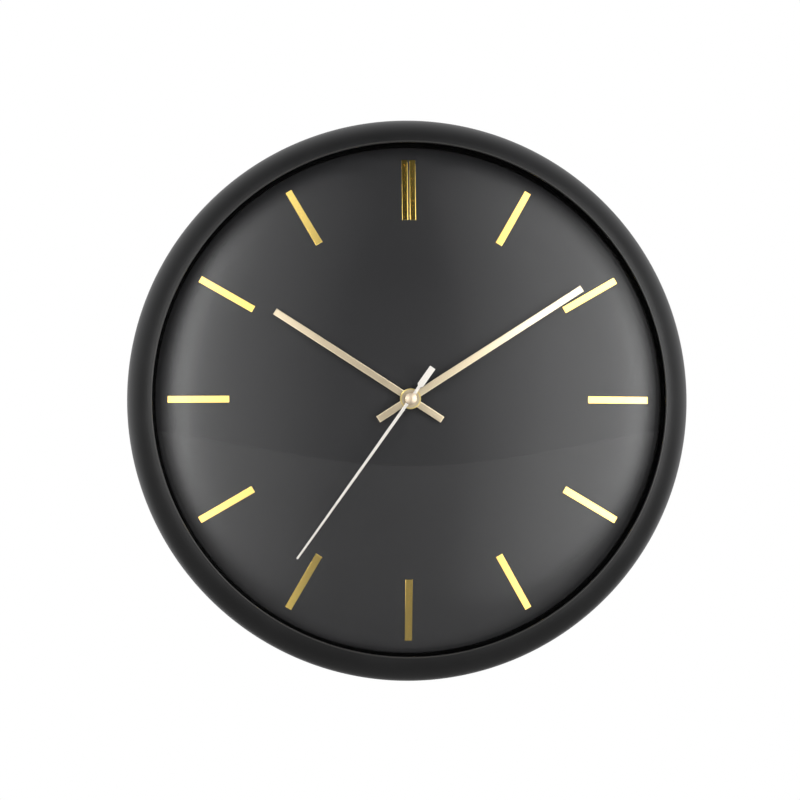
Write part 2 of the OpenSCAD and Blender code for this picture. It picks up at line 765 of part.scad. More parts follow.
module second_wheel() color("#e8e4da") in_place() {
    wheel(second_teeth, second_module, second_wheel_z, wheel_thickness, arbor_radius - 0.1,
        mesh_turn(inter_way + 180, inter_pinion_teeth, second_teeth, inter_way + 180));
    pinion(second_pinion_teeth, third_module, second_wheel_z + wheel_thickness / 2, pinion_length,
        arbor_radius - 0.1, third_way);
    pin(arbor_radius, cover_front + 0.3, second_z + 0.2);
}

module third_wheel() color("#e8e4da") in_place() translate(third_place) {
    wheel(third_teeth, third_module, third_wheel_z, wheel_thickness, pin_bore,
        mesh_turn(third_way, second_pinion_teeth, third_teeth, third_way));
    pinion(third_pinion_teeth, centre_module, third_wheel_z + wheel_thickness / 2, pinion_length,
        pin_bore, third_way + 180);
}

module centre_wheel() color("#e8e4da") in_place()
    wheel(centre_teeth, centre_module, centre_wheel_z, wheel_thickness,
        minute_tube_radius + running_gap,
        mesh_turn(third_way + 180, third_pinion_teeth, centre_teeth, third_way + 180));

module minute_tube() color("#cdb36a") in_place() {
    ring(minute_tube_radius, minute_tube_inside, centre_wheel_z - 0.2, minute_z + hand_thickness + tube_end);
    pinion(cannon_teeth, motion_module, motion_z, motion_thickness, minute_tube_radius - 0.1, minute_way);
}

minute_wheel_turn = mesh_turn(minute_way, cannon_teeth, minute_wheel_teeth, minute_way);

module minute_wheel() color("#e8e4da") in_place() translate(minute_place) {
    wheel(minute_wheel_teeth, motion_module, motion_z, motion_thickness, pin_bore,
        minute_wheel_turn);
    pinion(minute_pinion_teeth, hour_module, motion_z + motion_thickness / 2,
        hour_wheel_z + hour_wheel_thickness - motion_z - motion_thickness / 2,
        pin_bore, minute_way + 180);
}

module hour_wheel() color("#e8e4da") in_place() {
    wheel(hour_wheel_teeth, hour_module, hour_wheel_z, hour_wheel_thickness, hour_tube_inside,
        mesh_turn(minute_way + 180, minute_pinion_teeth, hour_wheel_teeth, minute_way + 180));
    ring(hour_tube_radius, hour_tube_inside, hour_wheel_z, hour_z + hand_thickness + tube_end);
}

module setting_knob() color("#1d1e20") in_place() translate(knob_place) {
    pinion(knob_teeth, motion_module, motion_z, motion_thickness, 0,
        mesh_turn(minute_wheel_turn, minute_wheel_teeth, knob_teeth, knob_way));
    pin(1.2, movement_rear - 1, motion_z + 0.2);
    pin(pin_radius, motion_z + 0.5, inside_z + 0.5);
    translate([0, 0, movement_rear - 2.5]) linear_extrude(2.2) difference() {
        circle(knob_radius, $fn = round_fn);
        around(16, knob_radius + 0.5) circle(0.8, $fn = 16);
    }
}

// ---- hands ----

// Straight hand with square ends and a round hub, cut from a sheet domed like the dial
module bar_hand(height, length, width, bore, angle) {
    rotate(-angle) intersection() {
        dome_sheet(height, hand_thickness, length + 5);
        linear_extrude(second_z + 20) difference() {
            union() {
                translate([-width / 2, -hand_tail]) square([width, length + hand_tail]);
                circle(hub_radius, $fn = round_fn);
            }
            circle(bore, $fn = round_fn);
        }
    }
}

module hour_hand() color("#d0b67c") in_place()
    bar_hand(hour_z - dial_apex, hour_length, hour_width, hour_tube_radius + hair, hour_angle);

module minute_hand() color("#d0b67c") in_place()
    bar_hand(minute_z - dial_apex, minute_length, minute_width, minute_tube_radius + hair,
        minute_angle);

module hour_collet() color("#c2a052") in_place()
    ring(hour_collet_radius, hour_tube_radius + hair, hour_z - hour_collet_height, hour_z - hair);

module minute_collet() color("#c2a052") in_place()
    ring(minute_collet_radius, minute_tube_radius + hair, minute_z - collet_height, minute_z - hair);

module second_outline() {
    neck = 1.2;
    weight_start = second_tail - weight_length;
    polygon([
        [-second_width / 2, 0],
        [second_width / 2, 0],
        [second_tip_width / 2, second_length],
        [-second_tip_width / 2, second_length]
    ]);
    translate([-second_width / 2, -weight_start]) square([second_width, weight_start]);
    polygon([
        [-second_width / 2, -weight_start],
        [-weight_width / 2, -weight_start - neck],
        [-weight_width / 2, -second_tail],
        [weight_width / 2, -second_tail],
        [weight_width / 2, -weight_start - neck],
        [second_width / 2, -weight_start]
    ]);
    circle(cap_radius - 0.8, $fn = round_fn);
}

module second_hand() color("#e3d4a8") in_place() rotate(-second_angle) intersection() {
    dome_sheet(second_z - dial_apex, second_thickness, second_length + 5);
    linear_extrude(second_z + 20) difference() {
        second_outline();
        circle(arbor_radius + hair, $fn = round_fn);
    }
}

module second_collet() color("#c2a052") in_place()
    ring(second_collet_radius, arbor_radius + hair, second_z - collet_height - 0.2, second_z - hair);

// Turned cap: straight side, shallow cone and a small dimple
module second_cap() color("#cdb36a") in_place()
    translate([0, 0, second_z + second_thickness + hair]) rotate_extrude($fn = round_fn)
        polygon([
            [0, 0],
            [cap_radius, 0],
            [cap_radius, cap_edge],
            [cap_radius - 0.3, cap_edge + 0.3],
            [cap_dimple, cap_height],
            [cap_dimple - 0.2, cap_height - 0.35],
            [0, cap_height - 0.35]
        ]);

case_shell();
glass_dome();
glass_gasket();
spacer_ring();
dial();
for (h = [1:11]) hour_marker(h);
twelve_marker(-1);  // hour_marker_12_left
twelve_marker(1);  // hour_marker_12_right
back_plate();
back_screws();
hanger_plate();
hanger_screws();
movement_housing();
movement_back_cover();
mid_plate();
threaded_bush();
rubber_washer();
brass_washer();
hex_nut();
positive_contact();
negative_contact();
battery();
circuit_board();
quartz_crystal();
coil_bobbin();
coil_winding();
stator();
rotor();
intermediate_wheel();
second_wheel();
third_wheel();
centre_wheel();
minute_tube();
minute_wheel();
hour_wheel();
setting_knob();
hour_hand();
hour_collet();
minute_hand();
minute_collet();
second_hand();
second_collet();
second_cap();
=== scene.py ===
"""A round wall clock with a domed glass, dressed piece by piece in the order in which it is put together."""

from math import acos, asin, atan2, cos, pi, radians, sin, sqrt

import bmesh
import bpy
from mathutils import Matrix, Vector


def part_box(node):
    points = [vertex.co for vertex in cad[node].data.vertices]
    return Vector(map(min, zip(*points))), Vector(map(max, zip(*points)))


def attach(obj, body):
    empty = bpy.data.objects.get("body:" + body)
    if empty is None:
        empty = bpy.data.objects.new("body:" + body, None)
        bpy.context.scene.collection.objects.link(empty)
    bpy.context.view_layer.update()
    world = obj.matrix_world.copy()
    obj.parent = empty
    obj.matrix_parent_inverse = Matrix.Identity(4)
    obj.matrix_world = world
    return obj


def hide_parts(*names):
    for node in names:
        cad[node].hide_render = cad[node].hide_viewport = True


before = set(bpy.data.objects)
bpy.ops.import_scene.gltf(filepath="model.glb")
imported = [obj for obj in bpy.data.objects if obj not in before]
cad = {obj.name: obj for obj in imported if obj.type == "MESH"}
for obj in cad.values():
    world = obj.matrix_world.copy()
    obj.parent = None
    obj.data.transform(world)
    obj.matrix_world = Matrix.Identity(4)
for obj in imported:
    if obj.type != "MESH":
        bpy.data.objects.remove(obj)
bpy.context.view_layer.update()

# ---- Case ----------------------------------------------------------------------------------------
# One ring moulded in matt black ABS with a fine spark-eroded grain, hollow behind its rounded rim.
# A thin bead runs along the lip. Inside stand the bosses for the back's screws and flat ribs, and
# the glass, its gasket, the spacer and the dial are all laid in from the rear.
case_low, case_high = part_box("case_shell")
case_radius = (case_high.x - case_low.x) / 2
wall_y = case_high.y
axis_z = (case_high.z + case_low.z) / 2
rim_width = 0.0176
rim_round = 0.0264
rim_equator = 0.010
skin = 0.0025
bead_radius = 0.0008
bead_overhang = 0.00015
bead_inset = 0.0006
lip_depth = 0.0045
seat_width = 0.0038
bore_wall = 0.002
mouth_margin = 0.004
plate_front = 0.0045
boss_radius = 0.0034
boss_hole = 0.0013
boss_height = 0.0125
boss_offset = 0.0025
case_screws = 8
case_ribs = 16
rib_thickness = 0.0016
rib_gap = 0.0015
boss_floor = 0.001

lip_radius = case_radius - rim_width
rim_middle = case_radius - rim_round
bore_radius = lip_radius + seat_width
channel = bore_radius + bore_wall
mouth = case_radius - mouth_margin
lip_height = rim_equator + sqrt(rim_round**2 - (lip_radius - rim_middle) ** 2)
seat_height = lip_height - lip_depth
boss_circle = channel + boss_offset

# The clock is drawn about its own axis, X to the right, Y to twelve and Z out of the wall.
clock_frame = Matrix.Translation((0, wall_y, axis_z)) @ Matrix.Rotation(radians(90), 4, "X")


def evenly(start, end, count):
    """Values in equal steps from start to end, both included."""
    return [start + (end - start) * k / count for k in range(count + 1)]


def arc(middle, radius, start, end, count):
    """Points of an arc in a section, as (distance from the axis, height), from one angle to another."""
    return [(middle[0] + radius * cos(t), middle[1] + radius * sin(t)) for t in evenly(start, end, count)]


def as_object(name, bm, sharp=30):
    """A mesh object with smooth faces, kept crisp where they meet at more than the sharp angle."""
    bmesh.ops.recalc_face_normals(bm, faces=bm.faces)
    mesh = bpy.data.meshes.new(name)
    bm.to_mesh(mesh)
    bm.free()
    mesh.shade_smooth()
    mesh.set_sharp_from_angle(angle=radians(sharp))
    made = bpy.data.objects.new(name, mesh)
    bpy.context.scene.collection.objects.link(made)
    return made


def turned(name, outline, steps, sharp=30):
    """A closed piece turned about Z from the outline of its section; points on the axis close it."""
    on_axis = 1e-7
    bm = bmesh.new()
    rings = []
    for r, h in outline:
        if r < on_axis:
            rings.append([bm.verts.new((0, 0, h))])
        else:
            around = [2 * pi * k / steps for k in range(steps)]
            rings.append([bm.verts.new((r * cos(a), r * sin(a), h)) for a in around])
    for one, two in zip(rings, rings[1:] + rings[:1]):
        for k in range(steps):
            nxt = (k + 1) % steps
            corners = [one[k % len(one)], one[nxt % len(one)], two[nxt % len(two)], two[k % len(two)]]
            face = list(dict.fromkeys(corners))
            if len(face) > 2:
                bm.faces.new(face)
    return as_object(name, bm, sharp)


def prism(name, outline, thickness):
    """A flat plate with the given outline in the section plane, thickness wide across it."""
    bm = bmesh.new()
    near = [bm.verts.new((r, -thickness / 2, h)) for r, h in outline]
    far = [bm.verts.new((r, thickness / 2, h)) for r, h in outline]
    bm.faces.new(near)
    bm.faces.new(far)
    for k in range(len(outline)):
        nxt = (k + 1) % len(outline)
        bm.faces.new((near[k], near[nxt], far[nxt], far[k]))
    return as_object(name, bm)


def node(tree, kind, settings=None, **sockets):
    """A node with its settings and inputs; an underscore in an input's name stands for a space."""
    made = tree.nodes.new(kind)
    for key, value in (settings or {}).items():
        setattr(made, key, value)
    for name, value in sockets.items():
        put(tree, made.inputs[name.replace("_", " ")], value)
    return made


def put(tree, socket, value):
    """Links an output to a socket, or sets the socket to a plain value."""
    if isinstance(value, bpy.types.NodeSocket):
        tree.links.new(value, socket)
    else:
        socket.default_value = value


def maths(tree, operation, *values):
    """The result of one sum on values or outputs."""
    made = tree.nodes.new("ShaderNodeMath")
    made.operation = operation
    for k, value in enumerate(values):
        put(tree, made.inputs[k], value)
    return made.outputs[0]


def smoothly(tree, value, start, end, first=0.0, last=1.0):
    """Runs smoothly from first to last while value goes from start to end."""
    run = node(tree, "ShaderNodeMapRange", {"interpolation_type": "SMOOTHSTEP"}, Value=value)
    for label, number in (("From Min", start), ("From Max", end), ("To Min", first), ("To Max", last)):
        run.inputs[label].default_value = number
    return run.outputs[0]


def mixed(tree, share, one, two):
    """A colour between one and two, by share."""
    mix = node(tree, "ShaderNodeMix", {"data_type": "RGBA"}, Factor=share)
    colours = [socket for socket in mix.inputs if socket.type == "RGBA"]
    put(tree, colours[0], one)
    put(tree, colours[1], two)
    return next(socket for socket in mix.outputs if socket.type == "RGBA")


def node_group(name, kind, inputs, outputs):
    """A node group with named inputs and outputs, and its input and output nodes."""
    tree = bpy.data.node_groups.new(name, kind)
    for label, socket_type, default in inputs:
        socket = tree.interface.new_socket(label, in_out="INPUT", socket_type=socket_type)
        if default is not None:
            socket.default_value = default
    for label, socket_type in outputs:
        tree.interface.new_socket(label, in_out="OUTPUT", socket_type=socket_type)
    return tree, tree.nodes.new("NodeGroupInput"), tree.nodes.new("NodeGroupOutput")


# Copies of one piece, evenly round the axis
round_tree, given, result = node_group(
    "copies round the axis",
    "GeometryNodeTree",
    [
        ("Piece", "NodeSocketGeometry", None),
        ("Count", "NodeSocketInt", 8),
        ("First Angle", "NodeSocketFloat", 0.0),
        ("Finish", "NodeSocketMaterial", None),
    ],
    [("Pieces", "NodeSocketGeometry")],
)
points = node(round_tree, "GeometryNodePoints", Count=given.outputs["Count"])
index = node(round_tree, "GeometryNodeInputIndex")
step = maths(round_tree, "DIVIDE", 2 * pi, given.outputs["Count"])
turn = maths(round_tree, "MULTIPLY_ADD", index.outputs[0], step, given.outputs["First Angle"])
spin = node(round_tree, "ShaderNodeCombineXYZ", Z=turn)
copies = node(
    round_tree,
    "GeometryNodeInstanceOnPoints",
    Points=points.outputs[0],
    Instance=given.outputs["Piece"],
    Rotation=spin.outputs[0],
)
real = node(round_tree, "GeometryNodeRealizeInstances", Geometry=copies.outputs[0])
coated = node(
    round_tree, "GeometryNodeSetMaterial", Geometry=real.outputs[0], Material=given.outputs["Finish"]
)
round_tree.links.new(coated.outputs[0], result.inputs[0])


def through(tree, piece, **values):
    """Runs a piece through a geometry node tree and leaves the result as its plain mesh."""
    modifier = piece.modifiers.new(tree.name, "NODES")
    modifier.node_group = tree
    for socket in tree.interface.items_tree:
        label = socket.name.replace(" ", "_")
        if socket.in_out == "INPUT" and label in values:
            modifier[socket.identifier] = values[label]
    settled(piece)


def settled(piece):
    """Applies a piece's modifiers."""
    bpy.context.view_layer.update()
    graph = bpy.context.evaluated_depsgraph_get()
    mesh = bpy.data.meshes.new_from_object(
        piece.evaluated_get(graph), preserve_all_data_layers=True, depsgraph=graph
    )
    piece.modifiers.clear()
    piece.data = mesh


def crisp(piece, sharp=30):
    """Keeps a finished piece crisp where faces meet at more than the sharp angle."""
    piece.data.set_sharp_from_angle(angle=radians(sharp))


def fused(name, pieces):
    """Joins pieces of one part into a single crisp mesh."""
    bm = bmesh.new()
    for piece in pieces:
        bm.from_mesh(piece.data)
    mesh = bpy.data.meshes.new(name)
    bm.to_mesh(mesh)
    bm.free()
    made = bpy.data.objects.new(name, mesh)
    bpy.context.scene.collection.objects.link(made)
    for piece in pieces:
        bpy.data.objects.remove(piece)
    crisp(made)
    return made


def hung(piece, material, body, slot, *cad_nodes):
    """Hangs a finished piece on the wall, in its finish, on its body and in place of its CAD nodes."""
    piece.data.transform(clock_frame)
    piece.data.materials.clear()
    piece.data.materials.append(material)
    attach(piece, body)
    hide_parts(*cad_nodes)


def new_finish(name, roughness=0.5, metallic=0.0, specular=0.5):
    """A material with its Principled shader."""
    material = bpy.data.materials.new(name)
    material.use_nodes = True
    shader = material.node_tree.nodes["Principled BSDF"]
    shader.inputs["Roughness"].default_value = roughness
    shader.inputs["Metallic"].default_value = metallic
    shader.inputs["Specular IOR Level"].default_value = specular
    return material, material.node_tree, shader


def finish_group(name, *own_inputs):
    """Starts a group that turns a place on a piece into its colour, roughness and normal."""
    floats = [(label, "NodeSocketFloat", None) for label in (*own_inputs, "Depth", "Roughness", "Spread")]
    colours = [(label, "NodeSocketColor", None) for label in ("Colour", "Second Colour")]
    inputs = [("Vector", "NodeSocketVector", None), *colours, *floats]
    outputs = [
        ("Colour", "NodeSocketColor"),
        ("Roughness", "NodeSocketFloat"),
        ("Normal", "NodeSocketVector"),
    ]
    return node_group(name, "ShaderNodeTree", inputs, outputs)


def finish_ends(tree, given, result, share, height, play):
    """Ends it: share mixes the colours, height lifts the surface, play varies the roughness about 0."""
    tone = mixed(tree, share, given.outputs["Colour"], given.outputs["Second Colour"])
    gloss = maths(tree, "MULTIPLY_ADD", play, given.outputs["Spread"], given.outputs["Roughness"])
    bump = node(tree, "ShaderNodeBump", Strength=1.0, Distance=given.outputs["Depth"], Height=height)
    for output, label in ((tone, "Colour"), (gloss, "Roughness"), (bump.outputs[0], "Normal")):
        tree.links.new(output, result.inputs[label])


# Moulded grain: a fine pebbled skin with slow drifts of tone and gloss
grain_tree, given, result = finish_group("moulded grain", "Grains Per Metre")
where = given.outputs["Vector"]
grains = given.outputs["Grains Per Metre"]
pebbles = node(grain_tree, "ShaderNodeTexVoronoi", {"feature": "SMOOTH_F1"}, Vector=where, Scale=grains)
fuzz = node(grain_tree, "ShaderNodeTexNoise", Vector=where, Scale=grains, Detail=3.0)
drift = node(grain_tree, "ShaderNodeTexNoise", Vector=where, Scale=22.0, Detail=5.0, Roughness=0.6)
relief = maths(grain_tree, "MULTIPLY_ADD", fuzz.outputs[0], 0.5, pebbles.outputs[0])
worn = smoothly(grain_tree, drift.outputs[0], 0.35, 0.7)
centred = maths(grain_tree, "SUBTRACT", drift.outputs[0], 0.5)
finish_ends(grain_tree, given, result, worn, relief, centred)


def grouped(tree, group, shader, **values):
    """Puts a finish group in a material and feeds the shader from it."""
    made = node(tree, "ShaderNodeGroup", {"node_tree": group}, **values)
    for label, socket in (("Colour", "Base Color"), ("Roughness", "Roughness"), ("Normal", "Normal")):
        tree.links.new(made.outputs[label], shader.inputs[socket])


def grained(name, colour, worn, grains, depth, roughness, spread, specular=0.5):
    """Plastic, rubber or lacquer with a fine grain; worn is the colour where its tone drifts."""
    material, tree, shader = new_finish(name, specular=specular)
    place = node(tree, "ShaderNodeTexCoord")
    grouped(
        tree,
        grain_tree,
        shader,
        Vector=place.outputs["Object"],
        Colour=(*colour, 1),
        Second_Colour=(*worn, 1),
        Grains_Per_Metre=grains,
        Depth=depth,
        Roughness=roughness,
        Spread=spread,
    )
    return material


bead_middle_r = lip_radius + bead_radius - bead_overhang
bead_reach = rim_round - bead_inset
bead_middle_h = rim_equator + sqrt(bead_reach**2 - (bead_middle_r - rim_middle) ** 2)
bead_way = atan2(bead_middle_h - rim_equator, bead_middle_r - rim_middle)
bead_open = acos((rim_round**2 - bead_reach**2 - bead_radius**2) / (2 * bead_reach * bead_radius))
bead_start = pi + acos((bead_middle_r - lip_radius) / bead_radius)
rim_start = bead_way - asin(bead_radius * sin(bead_open) / rim_round)
hollow = rim_round - skin
hollow_low = -acos((mouth - rim_middle) / hollow)
hollow_high = acos((channel - rim_middle) / hollow)
case_outline = [
    *arc((bead_middle_r, bead_middle_h), bead_radius, bead_start, bead_way - bead_open, 14),
    *arc((rim_middle, rim_equator), rim_round, rim_start, -asin(rim_equator / rim_round), 56)[1:],
    (mouth, 0.0),
    *arc((rim_middle, rim_equator), hollow, hollow_low, hollow_high, 24),
    (channel, plate_front),
    (bore_radius, plate_front),
    (bore_radius, seat_height),
    (lip_radius, seat_height),
]
case_ring = turned("case_ring", case_outline, steps=320)

boss = turned(
    "boss",
    [
        (boss_hole, plate_front),
        (boss_radius, plate_front),
        (boss_radius, plate_front + boss_height),
        (0, plate_front + boss_height),
        (0, plate_front + boss_height - boss_floor),
        (boss_hole, plate_front + boss_height - boss_floor),
    ],
    steps=32,
)
boss.data.transform(Matrix.Translation((boss_circle, 0, 0)))
rib_reach = rim_round - skin / 2
rib_inner = channel - bore_wall / 2
rib_base = plate_front + rib_gap
rib_low = asin((rib_base - rim_equator) / rib_reach)
rib_high = acos((rib_inner - rim_middle) / rib_reach)
rib_outline = [(rib_inner, rib_base), *arc((rim_middle, rim_equator), rib_reach, rib_low, rib_high, 8)]
rib = prism("rib", rib_outline, rib_thickness)

case_black = grained(
    "matt black moulding", (0.004, 0.004, 0.0042), (0.006, 0.006, 0.0063),
    grains=3200.0, depth=0.000012, roughness=0.44, spread=0.1, specular=0.42,
)


def banded(finish, inner, outer, soft, colour, roughness):
    """Gives a ring about the clock's axis its own colour and gloss, with soft edges."""
    tree = finish.node_tree
    shader = tree.nodes["Principled BSDF"]
    place = node(tree, "ShaderNodeTexCoord").outputs["Object"]
    flat = node(tree, "ShaderNodeMapping", Vector=place, Location=(0, 0, -axis_z), Scale=(1, 0, 1))
    distance = node(tree, "ShaderNodeVectorMath", {"operation": "LENGTH"}, Vector=flat.outputs[0])
    off_middle = maths(tree, "SUBTRACT", distance.outputs["Value"], (inner + outer) / 2)
    half = (outer - inner) / 2
    band = smoothly(tree, maths(tree, "ABSOLUTE", off_middle), half - soft, half + soft, 1.0, 0.0)
    colour_was = shader.inputs["Base Color"].links[0].from_socket
    gloss_was = shader.inputs["Roughness"].links[0].from_socket
    tree.links.new(mixed(tree, band, colour_was, (*colour, 1)), shader.inputs["Base Color"])
    # Mix takes its plain numbers from the first pair of sockets after the factors
    gloss = node(tree, "ShaderNodeMix", Factor=band)
    put(tree, gloss.inputs[2], gloss_was)
    put(tree, gloss.inputs[3], roughness)
    tree.links.new(gloss.outputs[0], shader.inputs["Roughness"])


# The bead along the lip is glossier, and its colour is lightened there as a painted highlight line along the
# lip
painted_highlight_half = bead_radius * 0.8
painted_highlight_soft_edge = bead_radius * 0.2
banded(
    case_black, bead_middle_r - painted_highlight_half, bead_middle_r + painted_highlight_half, painted_highlight_soft_edge,
    colour=(0.014, 0.0135, 0.0125), roughness=0.36,
)
through(round_tree, boss, Count=case_screws, Finish=case_black)
through(round_tree, rib, Count=case_ribs, First_Angle=pi / case_ribs, Finish=case_black)
case = fused("case", [case_ring, boss, rib])
hung(case, case_black, "clock_case", "case_black", "case_shell")

# ---- Back plate ----------------------------------------------------------------------------------
# A black polystyrene plate that fits the case's mouth and is screwed to its bosses, with a leather-like
# moulded grain, stiffening ribs on its inside, a square window for the movement and a pocket behind
# the keyhole.


def dressed(material, *names):
    """Gives CAD nodes their finish."""
    for name in names:
        for slot in cad[name].material_slots:
            slot.material = material


back_black = grained(
    "grained black back", (0.014, 0.014, 0.0145), (0.022, 0.022, 0.022),
    grains=900.0, depth=0.00006, roughness=0.55, spread=0.18, specular=0.4,
)
dressed(back_black, "back_plate")

# ---- Screws and hanger ---------------------------------------------------------------------------
# Zinc-plated pan-head screws with a cross recess hold the back. A pressed steel plate with a keyhole,
# held by two smaller screws, takes the load of the clock on the wall's screw.

# Fine drawn lines along X: the place is squeezed along them by the length ratio
drawn_tree, given, result = finish_group("drawn metal", "Lines Per Metre", "Length Ratio")
squeeze = node(drawn_tree, "ShaderNodeCombineXYZ", X=given.outputs["Length Ratio"], Y=1.0, Z=1.0)
drawn = node(drawn_tree, "ShaderNodeVectorMath", {"operation": "MULTIPLY"})
put(drawn_tree, drawn.inputs[0], given.outputs["Vector"])
put(drawn_tree, drawn.inputs[1], squeeze.outputs[0])
lines = node(
    drawn_tree,
    "ShaderNodeTexNoise",
    Vector=drawn.outputs[0],
    Scale=given.outputs["Lines Per Metre"],
    Detail=4.0,
    Roughness=0.65,
)
clouds = node(drawn_tree, "ShaderNodeTexNoise", Vector=given.outputs["Vector"], Scale=60.0, Detail=3.0)
both = maths(drawn_tree, "ADD", lines.outputs[0], clouds.outputs[0])
centred = maths(drawn_tree, "SUBTRACT", both, 1.0)
finish_ends(drawn_tree, given, result, lines.outputs[0], lines.outputs[0], centred)


def metal(name, colour, second, roughness, spread, turn=0.0, lines=3000.0, ratio=0.02, depth=0.000004):
    """Plated or drawn metal whose lines run along X once the piece is turned back about Y."""
    material, tree, shader = new_finish(name, metallic=1.0)
    place = node(tree, "ShaderNodeTexCoord").outputs["Object"]
    turned_back = node(tree, "ShaderNodeMapping", Vector=place, Rotation=(0, turn, 0))
    grouped(
        tree,
        drawn_tree,
        shader,
        Vector=turned_back.outputs[0],
        Colour=(*colour, 1),
        Second_Colour=(*second, 1),
        Lines_Per_Metre=lines,
        Length_Ratio=ratio,
        Depth=depth,
        Roughness=roughness,
        Spread=spread,
    )
    return material


zinc = metal(
    "zinc plate", (0.56, 0.57, 0.60), (0.46, 0.47, 0.50),
    roughness=0.34, spread=0.2, lines=900.0, ratio=1.0,
)
dressed(zinc, "hanger_plate")


def cut_by(piece, cutter, crossed=False):
    """Cuts a cutter out of a piece; crossed tells that the cutter's own parts run into each other."""
    cut = piece.modifiers.new("cut", "BOOLEAN")
    cut.operation = "DIFFERENCE"
    cut.solver = "EXACT"
    cut.use_self = crossed
    cut.object = cutter
    settled(piece)
    bpy.data.objects.remove(cutter)


def pan_screw(name, head_radius, head_height, shank_radius, length, recess):
    """A pan-head screw with a cross recess, its head towards -Z and its seat at Z = 0."""
    head_round = head_height * 0.8
    crown = arc((head_radius - head_round, head_round - head_height), head_round, -pi / 2, 0, 8)
    shank = [(shank_radius, 0), (shank_radius, length), (0, length)]
    screw = turned(name, [(0, -head_height), *crown, (head_radius, 0), *shank], steps=48)
    cross_width = recess * 0.45
    cross_height = head_height * 1.1
    bm = bmesh.new()
    for turn in (0, pi / 2):
        spot = Matrix.Rotation(turn, 4, "Z") @ Matrix.Translation((0, 0, -head_height))
        size = Matrix.Diagonal((recess * 2, cross_width, cross_height, 1))
        bmesh.ops.create_cube(bm, size=1.0, matrix=spot @ size)
    cut_by(screw, as_object("cross", bm), crossed=True)
    return screw


def height_of(y):
    """How far a place at depth y stands out from the wall."""
    return wall_y - y


plate_rear = height_of(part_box("back_plate")[1].y)
back_head_radius = 0.0026
back_head_height = 0.0014
back_screw_length = 0.011
back_screw = pan_screw(
    "back_screws_made", back_head_radius, back_head_height, boss_hole, back_screw_length, recess=0.0013
)
back_screw.data.transform(Matrix.Translation((boss_circle, 0, plate_rear)))
through(round_tree, back_screw, Count=case_screws, Finish=zinc)
crisp(back_screw)
hung(back_screw, zinc, "clock_case", "zinc_steel", "back_screws")

hanger_low, hanger_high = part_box("hanger_screws")
hanger_head_radius = 0.0022
hanger_head_height = 0.0004
hanger_shank_radius = 0.0011
hanger_screw_length = 0.0038
hanger_screw_x = hanger_high.x - hanger_head_radius
hanger_screw_y = (hanger_low.z + hanger_high.z) / 2 - axis_z
hanger_seat = height_of(hanger_high.y) + hanger_head_height
hanger_pair = []
for name, side, turn in (("left", -1, 0.0), ("right", 1, 0.6)):
    screw = pan_screw(
        name, hanger_head_radius, hanger_head_height, hanger_shank_radius, hanger_screw_length, recess=0.001
    )
    place = Matrix.Translation((side * hanger_screw_x, hanger_screw_y, hanger_seat))
    screw.data.transform(place @ Matrix.Rotation(turn, 4, "Z"))
    hanger_pair.append(screw)
hanger_screws = fused("hanger_screws_made", hanger_pair)
hung(hanger_screws, zinc, "clock_case", "zinc_steel", "hanger_screws")

# ---- Movement: housing, cover and knob -----------------------------------------------------------
# The housing and its snap-on cover are injection moulded in black ABS, smoother than the case. The
# knob behind sets the time.
movement_black = grained(
    "movement black", (0.02, 0.021, 0.022), (0.032, 0.033, 0.034),
    grains=1800.0, depth=0.00003, roughness=0.42, spread=0.2,
)
dressed(movement_black, "movement_housing", "movement_back_cover", "setting_knob")

# ---- Movement: electrics -------------------------------------------------------------------------
# An alkaline cell in a plain wrap between two nickel-plated spring steel contacts, a small circuit
# board with its crystal, and the stepping motor: coil on its bobbin, soft-iron stator and rotor.
contact_metal = metal(
    "nickel plate", (0.66, 0.64, 0.60), (0.56, 0.54, 0.50),
    roughness=0.28, spread=0.18, lines=1500.0, ratio=0.05,
)
dressed(contact_metal, "positive_contact", "negative_contact", "quartz_crystal")


def ramped(tree, share, interpolation, stops):
    """A colour that runs along share through stops, each given as (place, colour) in rising order."""
    ramp = node(tree, "ShaderNodeValToRGB", Fac=share)
    ramp.color_ramp.interpolation = interpolation
    elements = ramp.color_ramp.elements
    elements[0].position, elements[1].position = stops[0][0], stops[-1][0]
    for place, _ in stops[1:-1]:
        elements.new(place)
    for element, (_, colour) in zip(elements, stops):
        element.color = (*colour, 1)
    return ramp.outputs[0]


battery_low, battery_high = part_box("battery")
battery_paint, tree, shader = new_finish("battery wrap")
shader.inputs["Coat Weight"].default_value = 0.6
shader.inputs["Coat Roughness"].default_value = 0.12
place = node(tree, "ShaderNodeTexCoord").outputs["Object"]
along = node(tree, "ShaderNodeSeparateXYZ", Vector=place).outputs["X"]
share = node(tree, "ShaderNodeMapRange", Value=along, From_Min=battery_low.x, From_Max=battery_high.x)
bare_steel = (0.55, 0.55, 0.56)
wrap_start, wrap_split, wrap_end = 0.02, 0.68, 0.975
wrap_bands = [
    (0.0, bare_steel),
    (wrap_start, (0.03, 0.09, 0.05)),
    (wrap_split, (0.62, 0.50, 0.22)),
    (wrap_end, bare_steel),
]
bare_bands = [(0.0, (1, 1, 1)), (wrap_start, (0, 0, 0)), (wrap_end, (1, 1, 1))]
scuffs = node(tree, "ShaderNodeTexNoise", Vector=place, Scale=320.0, Detail=6.0)
wrap_gloss = node(tree, "ShaderNodeMapRange", Value=scuffs.outputs[0], To_Min=0.22, To_Max=0.42)
put(tree, shader.inputs["Base Color"], ramped(tree, share.outputs[0], "CONSTANT", wrap_bands))
put(tree, shader.inputs["Metallic"], ramped(tree, share.outputs[0], "CONSTANT", bare_bands))
put(tree, shader.inputs["Roughness"], wrap_gloss.outputs[0])
dressed(battery_paint, "battery")

